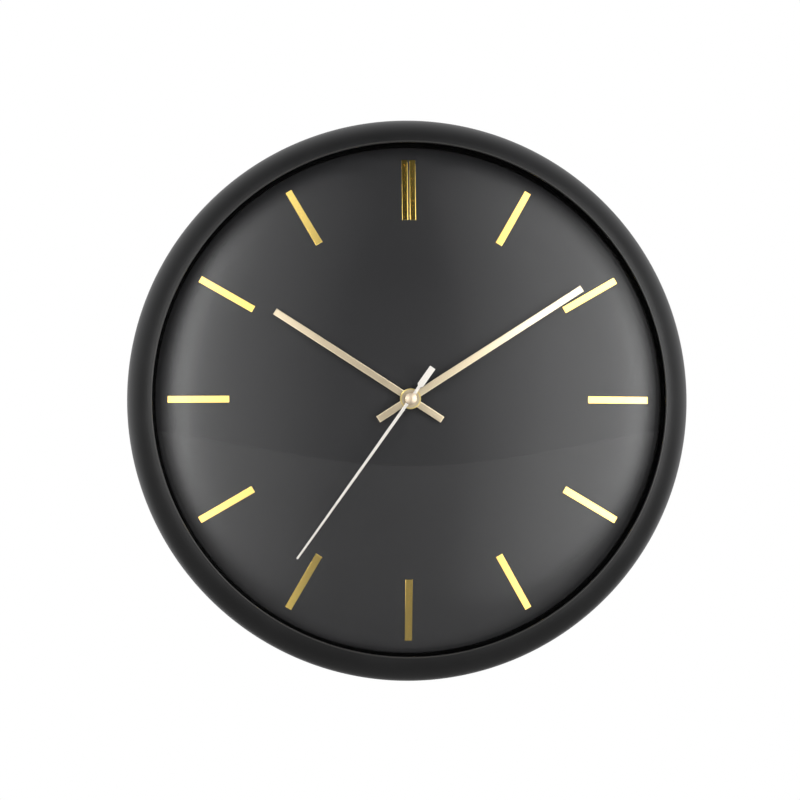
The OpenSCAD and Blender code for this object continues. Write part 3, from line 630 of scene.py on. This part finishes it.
board_green = grained(
    "circuit board", (0.02, 0.12, 0.045), (0.03, 0.16, 0.06),
    grains=700.0, depth=0.00002, roughness=0.35, spread=0.15,
)
dressed(board_green, "circuit_board")
natural_white = grained(
    "natural acetal", (0.72, 0.70, 0.64), (0.80, 0.78, 0.72),
    grains=1500.0, depth=0.00001, roughness=0.38, spread=0.1,
)
dressed(natural_white, "mid_plate", "coil_bobbin")
copper = metal(
    "enamelled copper", (0.72, 0.30, 0.14), (0.52, 0.18, 0.07),
    roughness=0.3, spread=0.15, turn=pi / 2, lines=9000.0, ratio=0.01, depth=0.00003,
)
dressed(copper, "coil_winding")
soft_iron = metal(
    "soft iron", (0.42, 0.42, 0.43), (0.34, 0.34, 0.35),
    roughness=0.4, spread=0.2, lines=1800.0, ratio=0.1,
)
dressed(soft_iron, "stator", "rotor")

# ---- Movement: wheels and tubes ------------------------------------------------------------------
# The wheels and their pinions are moulded in white acetal, each in one piece. The minute tube, the
# bush with its washer and nut, and the collets are turned brass. The washer behind the dial and the
# gasket round the glass are rubber.
wheel_white = grained(
    "gear white", (0.78, 0.76, 0.70), (0.70, 0.68, 0.62),
    grains=2600.0, depth=0.000008, roughness=0.32, spread=0.1,
)
dressed(wheel_white, "intermediate_wheel", "second_wheel", "third_wheel", "centre_wheel")
dressed(wheel_white, "minute_wheel", "hour_wheel")
brass = metal(
    "turned brass", (0.72, 0.52, 0.22), (0.60, 0.42, 0.16),
    roughness=0.26, spread=0.16, lines=2500.0, ratio=1.0,
)
dressed(brass, "minute_tube", "threaded_bush", "brass_washer", "hex_nut")
dressed(brass, "hour_collet", "minute_collet", "second_collet")
rubber = grained(
    "black rubber", (0.010, 0.010, 0.010), (0.016, 0.016, 0.016),
    grains=1200.0, depth=0.00003, roughness=0.7, spread=0.15, specular=0.3,
)
dressed(rubber, "rubber_washer", "glass_gasket")

# ---- Dial ----------------------------------------------------------------------------------------
# A domed aluminium sheet sprayed satin black, with a hole for the movement's bush. It lies on a ledge of
# the back plate and is clamped at the middle by the nut.
dial_low, dial_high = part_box("dial")
dial_radius = dial_high.x
dial_dome = 0.880
dial_sheet = 0.0012
bush_hole = 0.00415


def dome_drop(r, ball=dial_dome):
    """How far a dome has fallen at a distance from its middle."""
    return ball - sqrt(ball**2 - r**2)


dial_apex = height_of(dial_low.y) + dome_drop(bush_hole)
reach = evenly(bush_hole, dial_radius, 64)
front = [(r, dial_apex - dome_drop(r)) for r in reach]
behind = [(r, dial_apex - dial_sheet - dome_drop(r, dial_dome - dial_sheet)) for r in reach]
dial = turned("dial_sheet", front + behind[::-1], steps=256)

satin_black = grained(
    "satin black lacquer", (0.0115, 0.0115, 0.0125), (0.0125, 0.0125, 0.0135),
    grains=4200.0, depth=0.000001, roughness=0.42, spread=0.04, specular=0.26,
)
hung(dial, satin_black, "clock_case", "dial_black", "dial")

# ---- Hour markers --------------------------------------------------------------------------------
# Thirteen gold-plated brass bars with polished faces and softly broken edges, bent to the dial's dome and
# glued on: one at each hour, and a pair side by side at twelve.
marker_length = 0.0436
marker_width = 0.0051
marker_thickness = 0.0005
twelve_width = 0.0041
twelve_space = 0.0015
marker_edge = 0.0002
glue = 0.00002
marker_low, marker_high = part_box("hour_marker_03")
marker_middle = (marker_low.x + marker_high.x) / 2

# Lays a flat piece over the dial's dome, turned to its hour
dome_tree, given, result = node_group(
    "laid over the dome",
    "GeometryNodeTree",
    [
        ("Piece", "NodeSocketGeometry", None),
        ("Dome Radius", "NodeSocketFloat", dial_dome),
        ("Distance", "NodeSocketFloat", 0.0),
        ("Clockwise Turn", "NodeSocketFloat", 0.0),
        ("Height", "NodeSocketFloat", 0.0),
        ("Finish", "NodeSocketMaterial", None),
    ],
    [("Piece", "NodeSocketGeometry")],
)
out = node(dome_tree, "ShaderNodeCombineXYZ", Y=given.outputs["Distance"])
moved = node(
    dome_tree, "GeometryNodeTransform", Geometry=given.outputs["Piece"], Translation=out.outputs[0]
)
back_turn = maths(dome_tree, "MULTIPLY", given.outputs["Clockwise Turn"], -1.0)
about = node(dome_tree, "ShaderNodeCombineXYZ", Z=back_turn)
spun = node(dome_tree, "GeometryNodeTransform", Geometry=moved.outputs[0], Rotation=about.outputs[0])
spot = node(dome_tree, "GeometryNodeInputPosition")
parts = node(dome_tree, "ShaderNodeSeparateXYZ", Vector=spot.outputs[0])
across = maths(dome_tree, "POWER", parts.outputs["X"], 2.0)
upward = maths(dome_tree, "POWER", parts.outputs["Y"], 2.0)
ball = maths(dome_tree, "POWER", given.outputs["Dome Radius"], 2.0)
left_over = maths(dome_tree, "SUBTRACT", maths(dome_tree, "SUBTRACT", ball, across), upward)
fall = maths(dome_tree, "SUBTRACT", maths(dome_tree, "SQRT", left_over), given.outputs["Dome Radius"])
rise = maths(dome_tree, "ADD", fall, given.outputs["Height"])
lift = node(dome_tree, "ShaderNodeCombineXYZ", Z=rise)
draped = node(dome_tree, "GeometryNodeSetPosition", Geometry=spun.outputs[0], Offset=lift.outputs[0])
real = node(dome_tree, "GeometryNodeRealizeInstances", Geometry=draped.outputs[0])
coated = node(
    dome_tree, "GeometryNodeSetMaterial", Geometry=real.outputs[0], Material=given.outputs["Finish"]
)
dome_tree.links.new(coated.outputs[0], result.inputs[0])

flat_crease = 12
roll = 0.42


def flat_piece(name, half_width, stations, thickness, edge):
    """A flat strip along Y with softly rolled top edges; half_width gives its shape at each station.

    The edges fall by the share roll of their width, and stay crisp at flat_crease degrees."""
    bm = bmesh.new()
    first, last = stations[0], stations[-1]
    low = thickness - roll * edge
    rings = []
    for y in [first, first + edge, *stations[1:-1], last - edge, last]:
        top = low if y in (first, last) else thickness
        w = half_width(y)
        ring = [(-w, 0), (-w, low), (-w + edge, top), (-w / 3, top), (w / 3, top)]
        ring += [(w - edge, top), (w, low), (w, 0), (w / 3, 0), (-w / 3, 0)]
        rings.append([bm.verts.new((x, y, z)) for x, z in ring])
    for one, two in zip(rings, rings[1:]):
        for k in range(len(one)):
            nxt = (k + 1) % len(one)
            bm.faces.new((one[k], one[nxt], two[nxt], two[k]))
    bm.faces.new(rings[0])
    bm.faces.new(rings[-1])
    return as_object(name, bm, flat_crease)


polished_gold = metal(
    "polished gold plate", (0.95, 0.71, 0.20), (0.90, 0.64, 0.16),
    roughness=0.09, spread=0.04, lines=500.0, ratio=1.0, depth=0.0000012,
)


def hour_marker(name, width, sideways, hour):
    """One bar, cut to its width, laid on the dial at its hour."""
    stations = evenly(-marker_length / 2, marker_length / 2, 24)
    marker = flat_piece(name + "_bar", lambda y: width / 2, stations, marker_thickness, marker_edge)
    marker.data.transform(Matrix.Translation((sideways, 0, 0)))
    through(
        dome_tree,
        marker,
        Distance=marker_middle,
        Clockwise_Turn=radians(30 * hour),
        Height=dial_apex + glue,
        Finish=polished_gold,
    )
    hung(marker, polished_gold, "clock_case", "polished_gold", name)


for hour in range(1, 12):
    hour_marker(f"hour_marker_{hour:02d}", marker_width, 0, hour)
twelve_step = (twelve_width + twelve_space) / 2
hour_marker("hour_marker_12_left", twelve_width, -twelve_step, 0)
hour_marker("hour_marker_12_right", twelve_width, twelve_step, 0)

# ---- Hour and minute hands -----------------------------------------------------------------------
# Straight bars stamped from brass sheet with a round hub, bent like the dial, brushed along their length
# and plated pale gold. Each is pressed on its tube, over a turned collet.
hub_radius = 0.0073
hub_ring = 0.0009
hub_ring_edge = 0.0001
hand_tail = 0.0272
hand_thickness = 0.0008
hand_edge = 0.00035
drill_reach = 0.002


def bored(piece, radius):
    """Drills the hole at the middle of a flat piece."""
    drill = [(0, -drill_reach), (radius, -drill_reach), (radius, drill_reach), (0, drill_reach)]
    cut_by(piece, turned("drill", drill, steps=48))


def bar_hand(name, cad_name, body, length, width, bore, angle, height):
    """One hand: its bar widens into the hub, is drilled, laid over the dome and turned to its time."""

    def half_width(y):
        return max(width / 2, sqrt(max(0.0, hub_radius**2 - y**2)))

    hub_edge = sqrt(hub_radius**2 - (width / 2) ** 2)
    hub_way = acos(hub_edge / hub_radius)
    stations = evenly(-hand_tail, -hub_edge, 8)
    stations += [-hub_radius * cos(t) for t in evenly(hub_way, pi - hub_way, 32)][1:-1]
    stations += evenly(hub_edge, length, 40)
    hand = flat_piece(name, half_width, stations, hand_thickness, hand_edge)
    bored(hand, bore)
    finish = metal(
        name + " champagne gold", (0.82, 0.70, 0.50), (0.74, 0.62, 0.42),
        roughness=0.31, spread=0.1, turn=pi / 2 + angle, lines=5200.0, ratio=0.012, depth=0.000006,
    )
    # The rim of the hub is turned bright
    ring_inner, ring_outer = hub_radius - hub_ring, hub_radius + hub_ring_edge
    banded(finish, ring_inner, ring_outer, hub_ring_edge, colour=(0.98, 0.78, 0.30), roughness=0.3)
    through(dome_tree, hand, Clockwise_Turn=angle, Height=height, Finish=finish)
    crisp(hand, flat_crease)
    hung(hand, finish, body, "hand_gold", cad_name)


def hand_facts(cad_name, width):
    """Length and clockwise angle of a hand, from the corners of the CAD node's tip."""
    places = [v.co for v in cad[cad_name].data.vertices]
    far = max(places, key=lambda p: p.x**2 + (p.z - axis_z) ** 2)
    reach = sqrt(far.x**2 + (far.z - axis_z) ** 2 - (width / 2) ** 2)
    tip_share = 0.999
    corners = [p for p in places if p.x**2 + (p.z - axis_z) ** 2 > (reach * tip_share) ** 2]
    middle = sum(corners, Vector()) / len(corners)
    return reach, atan2(middle.x, middle.z - axis_z)


hour_width = 0.0048
minute_width = 0.0050
hour_bore = 0.00252
minute_bore = 0.00162
hour_length, hour_angle = hand_facts("hour_hand", hour_width)
minute_length, minute_angle = hand_facts("minute_hand", minute_width)
hour_height = height_of(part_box("hour_collet")[0].y)
minute_height = height_of(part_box("minute_collet")[0].y)
bar_hand("hour_hand_bar", "hour_hand", "hours", hour_length, hour_width, hour_bore, hour_angle, hour_height)
bar_hand(
    "minute_hand_bar", "minute_hand", "minutes",
    minute_length, minute_width, minute_bore, minute_angle, minute_height,
)

# ---- Second hand and cap -------------------------------------------------------------------------
# A thin tapering needle with a broad counterweight, stamped in one piece and plated the palest gold. The
# turned cap pressed on its middle hides the arbor.
second_half = 0.0011
second_tip_half = 0.0007
second_disc = 0.0035
weight_half = 0.00225
second_tail = 0.0269
weight_length = 0.0166
weight_neck = 0.0012
tail_flat = 0.002
second_bore = 0.00052
second_thickness = 0.0004
second_edge = 0.00025
second_length, second_angle = hand_facts("second_hand", second_tip_half * 2)
second_height = height_of(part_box("second_collet")[0].y)


def needle(y):
    """Half the width of the second hand along its length: counterweight, disc and tapering needle."""
    disc = sqrt(max(0.0, second_disc**2 - y**2))
    if y >= 0:
        bar = second_half + (second_tip_half - second_half) * y / second_length
    else:
        past_neck = (-y - (second_tail - weight_length)) / weight_neck
        bar = second_half + (weight_half - second_half) * min(1.0, max(0.0, past_neck))
    return max(disc, bar)


weight_start = weight_length - second_tail
stations = [-second_tail, *evenly(tail_flat - second_tail, weight_start - weight_neck, 6)]
stations += evenly(weight_start, -second_disc, 4)
stations += [-second_disc * cos(t) for t in evenly(0, pi, 24)][1:-1]
stations += evenly(second_disc, second_length, 44)
second_hand = flat_piece("second_hand_needle", needle, stations, second_thickness, second_edge)
bored(second_hand, second_bore)
pale_gold = metal(
    "palest gold", (0.74, 0.71, 0.66), (0.68, 0.65, 0.60),
    roughness=0.45, spread=0.1, turn=pi / 2 + second_angle, lines=5200.0, ratio=0.012, depth=0.000004,
)
pale_gold.node_tree.nodes["Principled BSDF"].inputs["Metallic"].default_value = 0.75
through(dome_tree, second_hand, Clockwise_Turn=second_angle, Height=second_height, Finish=pale_gold)
crisp(second_hand, flat_crease)
hung(second_hand, pale_gold, "seconds", "second_gold", "second_hand")

cap_low, cap_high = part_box("second_cap")
cap_radius = cap_high.x
cap_base = height_of(cap_high.y)
cap_top = height_of(cap_low.y)
cap_shoulder = cap_base + 0.0008
cap_round = 0.0003
cap_chamfer = 0.0001
dimple = 0.0007
dimple_depth = 0.00045
cap = turned(
    "cap",
    [
        (0, cap_base),
        (cap_radius - cap_chamfer, cap_base),
        (cap_radius, cap_base + cap_chamfer),
        *arc((cap_radius - cap_round, cap_shoulder), cap_round, 0, radians(65), 6),
        (dimple + cap_chamfer, cap_top),
        *arc((dimple - cap_chamfer, cap_top - cap_chamfer), cap_chamfer, pi / 2, pi, 3),
        (dimple - 3 * cap_chamfer, cap_top - 4 * cap_chamfer),
        (0, cap_top - dimple_depth),
    ],
    steps=96,
)

# Fine rings about the axis, as the lathe leaves them
spun_tree, given, result = finish_group("spun metal", "Rings Per Metre")
parts = node(spun_tree, "ShaderNodeSeparateXYZ", Vector=given.outputs["Vector"])
flat = node(spun_tree, "ShaderNodeCombineXYZ", X=parts.outputs["X"], Y=parts.outputs["Z"])
distance = node(spun_tree, "ShaderNodeVectorMath", {"operation": "LENGTH"}, Vector=flat.outputs[0])
rings = node(
    spun_tree,
    "ShaderNodeTexNoise",
    {"noise_dimensions": "1D"},
    W=distance.outputs["Value"],
    Scale=given.outputs["Rings Per Metre"],
    Detail=3.0,
)
centred = maths(spun_tree, "SUBTRACT", rings.outputs[0], 0.5)
finish_ends(spun_tree, given, result, rings.outputs[0], rings.outputs[0], centred)

spun_gold, tree, shader = new_finish("spun gold", metallic=1.0)
place = node(tree, "ShaderNodeTexCoord")
centre = node(tree, "ShaderNodeMapping", Vector=place.outputs["Object"], Location=(0, 0, -axis_z))
grouped(
    tree,
    spun_tree,
    shader,
    Vector=centre.outputs[0],
    Colour=(0.70, 0.59, 0.46, 1),
    Second_Colour=(0.60, 0.49, 0.36, 1),
    Rings_Per_Metre=7000.0,
    Depth=0.000012,
    Roughness=0.5,
    Spread=0.12,
)
hung(cap, spun_gold, "seconds", "cap_gold", "second_cap")

# ---- Spacer --------------------------------------------------------------------------------------
# A deep ring of black plastic, flocked so that it throws no light on the dial. It is laid in from the
# rear and is held between the edges of glass and dial.
spacer_black = grained(
    "black flock", (0.001, 0.001, 0.001), (0.0015, 0.0015, 0.0015),
    grains=3000.0, depth=0.00003, roughness=0.9, spread=0.1, specular=0.02,
)
dressed(spacer_black, "spacer_ring")

# ---- Glass ---------------------------------------------------------------------------------------
# Three millimetres of clear glass, slumped to a shallow dome that falls faster near its edge, held
# behind the lip on a rubber gasket. The faces are fire-polished and show soft reflections.
glass_low, glass_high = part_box("glass_dome")
glass_radius = glass_high.x
glass_apex = height_of(glass_low.y)
glass_thickness = 0.003
glass_crown = 0.521
glass_shoulder = 10.4
glass_index = 1.4


def dome_line(inset):
    """Section of one face of the glass, from the middle out, falling with the second and fourth power."""
    line = []
    for r in evenly(0, glass_radius, 72):
        fall = glass_crown * r**2 + glass_shoulder * r**4
        slope = 2 * glass_crown * r + 4 * glass_shoulder * r**3
        line.append((r, glass_apex - fall - inset * sqrt(1 + slope**2)))
    return line


glass = turned("glass", dome_line(0) + dome_line(glass_thickness)[::-1], steps=256, sharp=40)

# Each face passes the light straight on or mirrors it, in the share that its angle gives
clear_glass, tree, mirror = new_finish("clear glass", roughness=0.02, metallic=1.0)
mirror.inputs["Base Color"].default_value = (1, 1, 1, 1)
facing = node(tree, "ShaderNodeNewGeometry").outputs["Backfacing"]
bend = node(tree, "ShaderNodeMapRange", Value=facing, To_Min=glass_index, To_Max=1 / glass_index)
share = node(tree, "ShaderNodeFresnel", IOR=bend.outputs[0])
place = node(tree, "ShaderNodeTexCoord").outputs["Object"]
wiped = node(tree, "ShaderNodeTexNoise", Vector=place, Scale=9.0, Detail=4.0)
haze = node(tree, "ShaderNodeMapRange", Value=wiped.outputs[0], From_Min=0.3, From_Max=0.8)
haze.inputs["To Min"].default_value = 0.015
haze.inputs["To Max"].default_value = 0.06
put(tree, mirror.inputs["Roughness"], haze.outputs[0])
clear = node(tree, "ShaderNodeBsdfTransparent", Color=(0.985, 0.985, 0.985, 1))
blend = node(tree, "ShaderNodeMixShader")
for socket, value in zip(blend.inputs, (share, clear, mirror)):
    put(tree, socket, value.outputs[0])
put(tree, tree.nodes["Material Output"].inputs["Surface"], blend.outputs[0])
hung(glass, clear_glass, "clock_case", "glass", "glass_dome")

# ---- Studio --------------------------------------------------------------------------------------
# A plain pale floor below the clock, a white surround behind it and large soft lights at both sides,
# brightest away from the middle, with the room dim in front.
floor_drop = 1.4
floor_half = 40.0
floor_front = 15.0
floor_rear = 2.4
bm = bmesh.new()
corners = [(-1, -floor_front), (1, -floor_front), (1, floor_rear), (-1, floor_rear)]
bm.faces.new([bm.verts.new((side * floor_half, y, axis_z - floor_drop)) for side, y in corners])
floor = as_object("floor", bm)
floor_paint, tree, shader = new_finish("pale floor", roughness=0.7)
place = node(tree, "ShaderNodeTexCoord").outputs["Object"]
mottle = node(tree, "ShaderNodeTexNoise", Vector=place, Scale=3.0, Detail=6.0)
paint = mixed(tree, mottle.outputs[0], (0.52, 0.515, 0.505, 1), (0.56, 0.555, 0.545, 1))
put(tree, shader.inputs["Base Color"], paint)
floor.data.materials.append(floor_paint)

world = bpy.data.worlds.new("studio")
bpy.context.scene.world = world
world.use_nodes = True
tree = world.node_tree
place = node(tree, "ShaderNodeTexCoord").outputs["Generated"]
way = node(tree, "ShaderNodeSeparateXYZ", Vector=place)
# The room is dim in front, more so above, and pale from the sides to the rear; the camera sees it white
front_below = 0.13
front_above = 0.02
front = smoothly(tree, way.outputs["Z"], -0.05, 0.33, front_below, front_above)
upward = maths(tree, "MAXIMUM", way.outputs["Z"], 0.0)
rearward = maths(tree, "MULTIPLY_ADD", upward, -0.2, way.outputs["Y"])
room = mixed(tree, smoothly(tree, rearward, -0.7, 0.4), front, (1.05, 1.05, 1.06, 1))
path = node(tree, "ShaderNodeLightPath")
seen = mixed(tree, path.outputs["Is Camera Ray"], room, (1, 1, 1, 1))
put(tree, tree.nodes["Background"].inputs["Color"], seen)

light_distance = 1.3
light_height = 2.5
light_rise = radians(6)
fade_start = 0.74
fade_end = 0.95


def soft_light(name, off_axis, lean, width, strength, profile):
    """A tall soft box aimed at the clock; profile gives its brightness from its inner to its outer edge."""
    data = bpy.data.lights.new(name, "AREA")
    data.shape = "RECTANGLE"
    data.size, data.size_y = width, light_height
    data.energy = pi * width * light_height
    data.use_nodes = True
    tree = data.node_tree
    spot = node(tree, "ShaderNodeNewGeometry").outputs["Parametric"]
    side = node(tree, "ShaderNodeSeparateXYZ", Vector=spot)
    across = side.outputs["X"] if off_axis > 0 else maths(tree, "SUBTRACT", 1.0, side.outputs["X"])
    greys = [(place, (level, level, level)) for place, level in profile]
    brightness = ramped(tree, across, "B_SPLINE", greys)
    # It fades towards its top and bottom, and its outer corners are rounded
    upright = maths(tree, "MULTIPLY", maths(tree, "SUBTRACT", side.outputs["Y"], 0.5), 2.0)
    ends = maths(tree, "SUBTRACT", 1.0, maths(tree, "POWER", maths(tree, "ABSOLUTE", upright), 4.0))
    rounded = maths(tree, "MULTIPLY_ADD", maths(tree, "POWER", upright, 2.0), 0.5, across)
    fade = maths(tree, "MULTIPLY", ends, smoothly(tree, rounded, fade_start, fade_end, 1.0, 0.0))
    level = maths(tree, "MULTIPLY", maths(tree, "MULTIPLY", brightness, fade), strength)
    put(tree, tree.nodes["Emission"].inputs["Strength"], level)
    light = bpy.data.objects.new(name, data)
    bpy.context.scene.collection.objects.link(light)
    way = Vector((sin(off_axis) * cos(light_rise), -cos(off_axis) * cos(light_rise), sin(light_rise)))
    light.matrix_world = (
        Matrix.Translation(Vector((0, 0, axis_z)) + way * light_distance)
        @ way.to_track_quat("Z", "Y").to_matrix().to_4x4()
        @ Matrix.Rotation(lean, 4, "Z")
    )
    light.visible_camera = False
    return light


def reaches(light, pieces, state):
    """Lets a light reach only these pieces, or all but these."""
    group = bpy.data.collections.new(light.name + " reach")
    for piece in pieces:
        group.objects.link(piece)
    for entry in group.collection_objects:
        entry.light_linking.link_state = state
    light.light_linking.receiver_collection = group


right_profile = [(0.0, 0.0), (0.13, 0.0), (0.21, 0.09), (0.31, 0.18), (0.40, 0.27), (0.5, 0.34), (0.6, 0.40)]
right_profile += [(0.69, 0.52), (0.76, 0.80), (0.81, 1.1), (0.86, 0.8), (0.91, 0.3), (0.95, 0.0), (1.0, 0.0)]
left_profile = [(0.0, 0.0), (0.11, 0.0), (0.19, 0.05), (0.30, 0.13), (0.42, 0.21), (0.54, 0.28), (0.63, 0.46)]
left_profile += [(0.69, 0.65), (0.74, 1.0), (0.79, 1.1), (0.84, 0.6), (0.88, 0.2), (0.92, 0.0), (1.0, 0.0)]
# The strong pair lights the clock; a weaker pair in the same places shows in the glass alone
glass_share = 0.22
for share, target, pieces, state in (
    (1.0, "clock", (glass, floor), "EXCLUDE"),
    (glass_share, "glass", (glass,), "INCLUDE"),
):
    for side, off_axis, lean, width, strength, profile in (
        ("right", 31.5, 0.0, 1.5, 13.0, right_profile),
        ("left", -27.0, -6.0, 1.3, 10.4, left_profile),
    ):
        name = f"{side} light for the {target}"
        light = soft_light(name, radians(off_axis), radians(lean), width, strength * share, profile)
        reaches(light, pieces, state)

# The camera stands three metres away, a little to the left and below the clock's axis
scene = bpy.context.scene
scene.view_settings.view_transform = "Standard"
view_width = 0.5709
view_distance = 3.0
view_reach = 20.0
view_azimuth = radians(-3.6)
view_elevation = radians(-2.0)
aim_side = -0.0056
aim_rise = 0.0001
aim = Vector((aim_side, wall_y - rim_equator, axis_z + aim_rise))
camera_data = bpy.data.cameras.new("camera")
camera_data.lens = camera_data.sensor_width * view_distance / view_width
camera_data.clip_end = view_reach
camera = bpy.data.objects.new("camera", camera_data)
scene.collection.objects.link(camera)
level_out = cos(view_elevation)
back = Vector((sin(view_azimuth) * level_out, -cos(view_azimuth) * level_out, sin(view_elevation)))
camera.location = aim + back * view_distance
camera.rotation_euler = back.to_track_quat("Z", "Y").to_euler()
scene.camera = camera
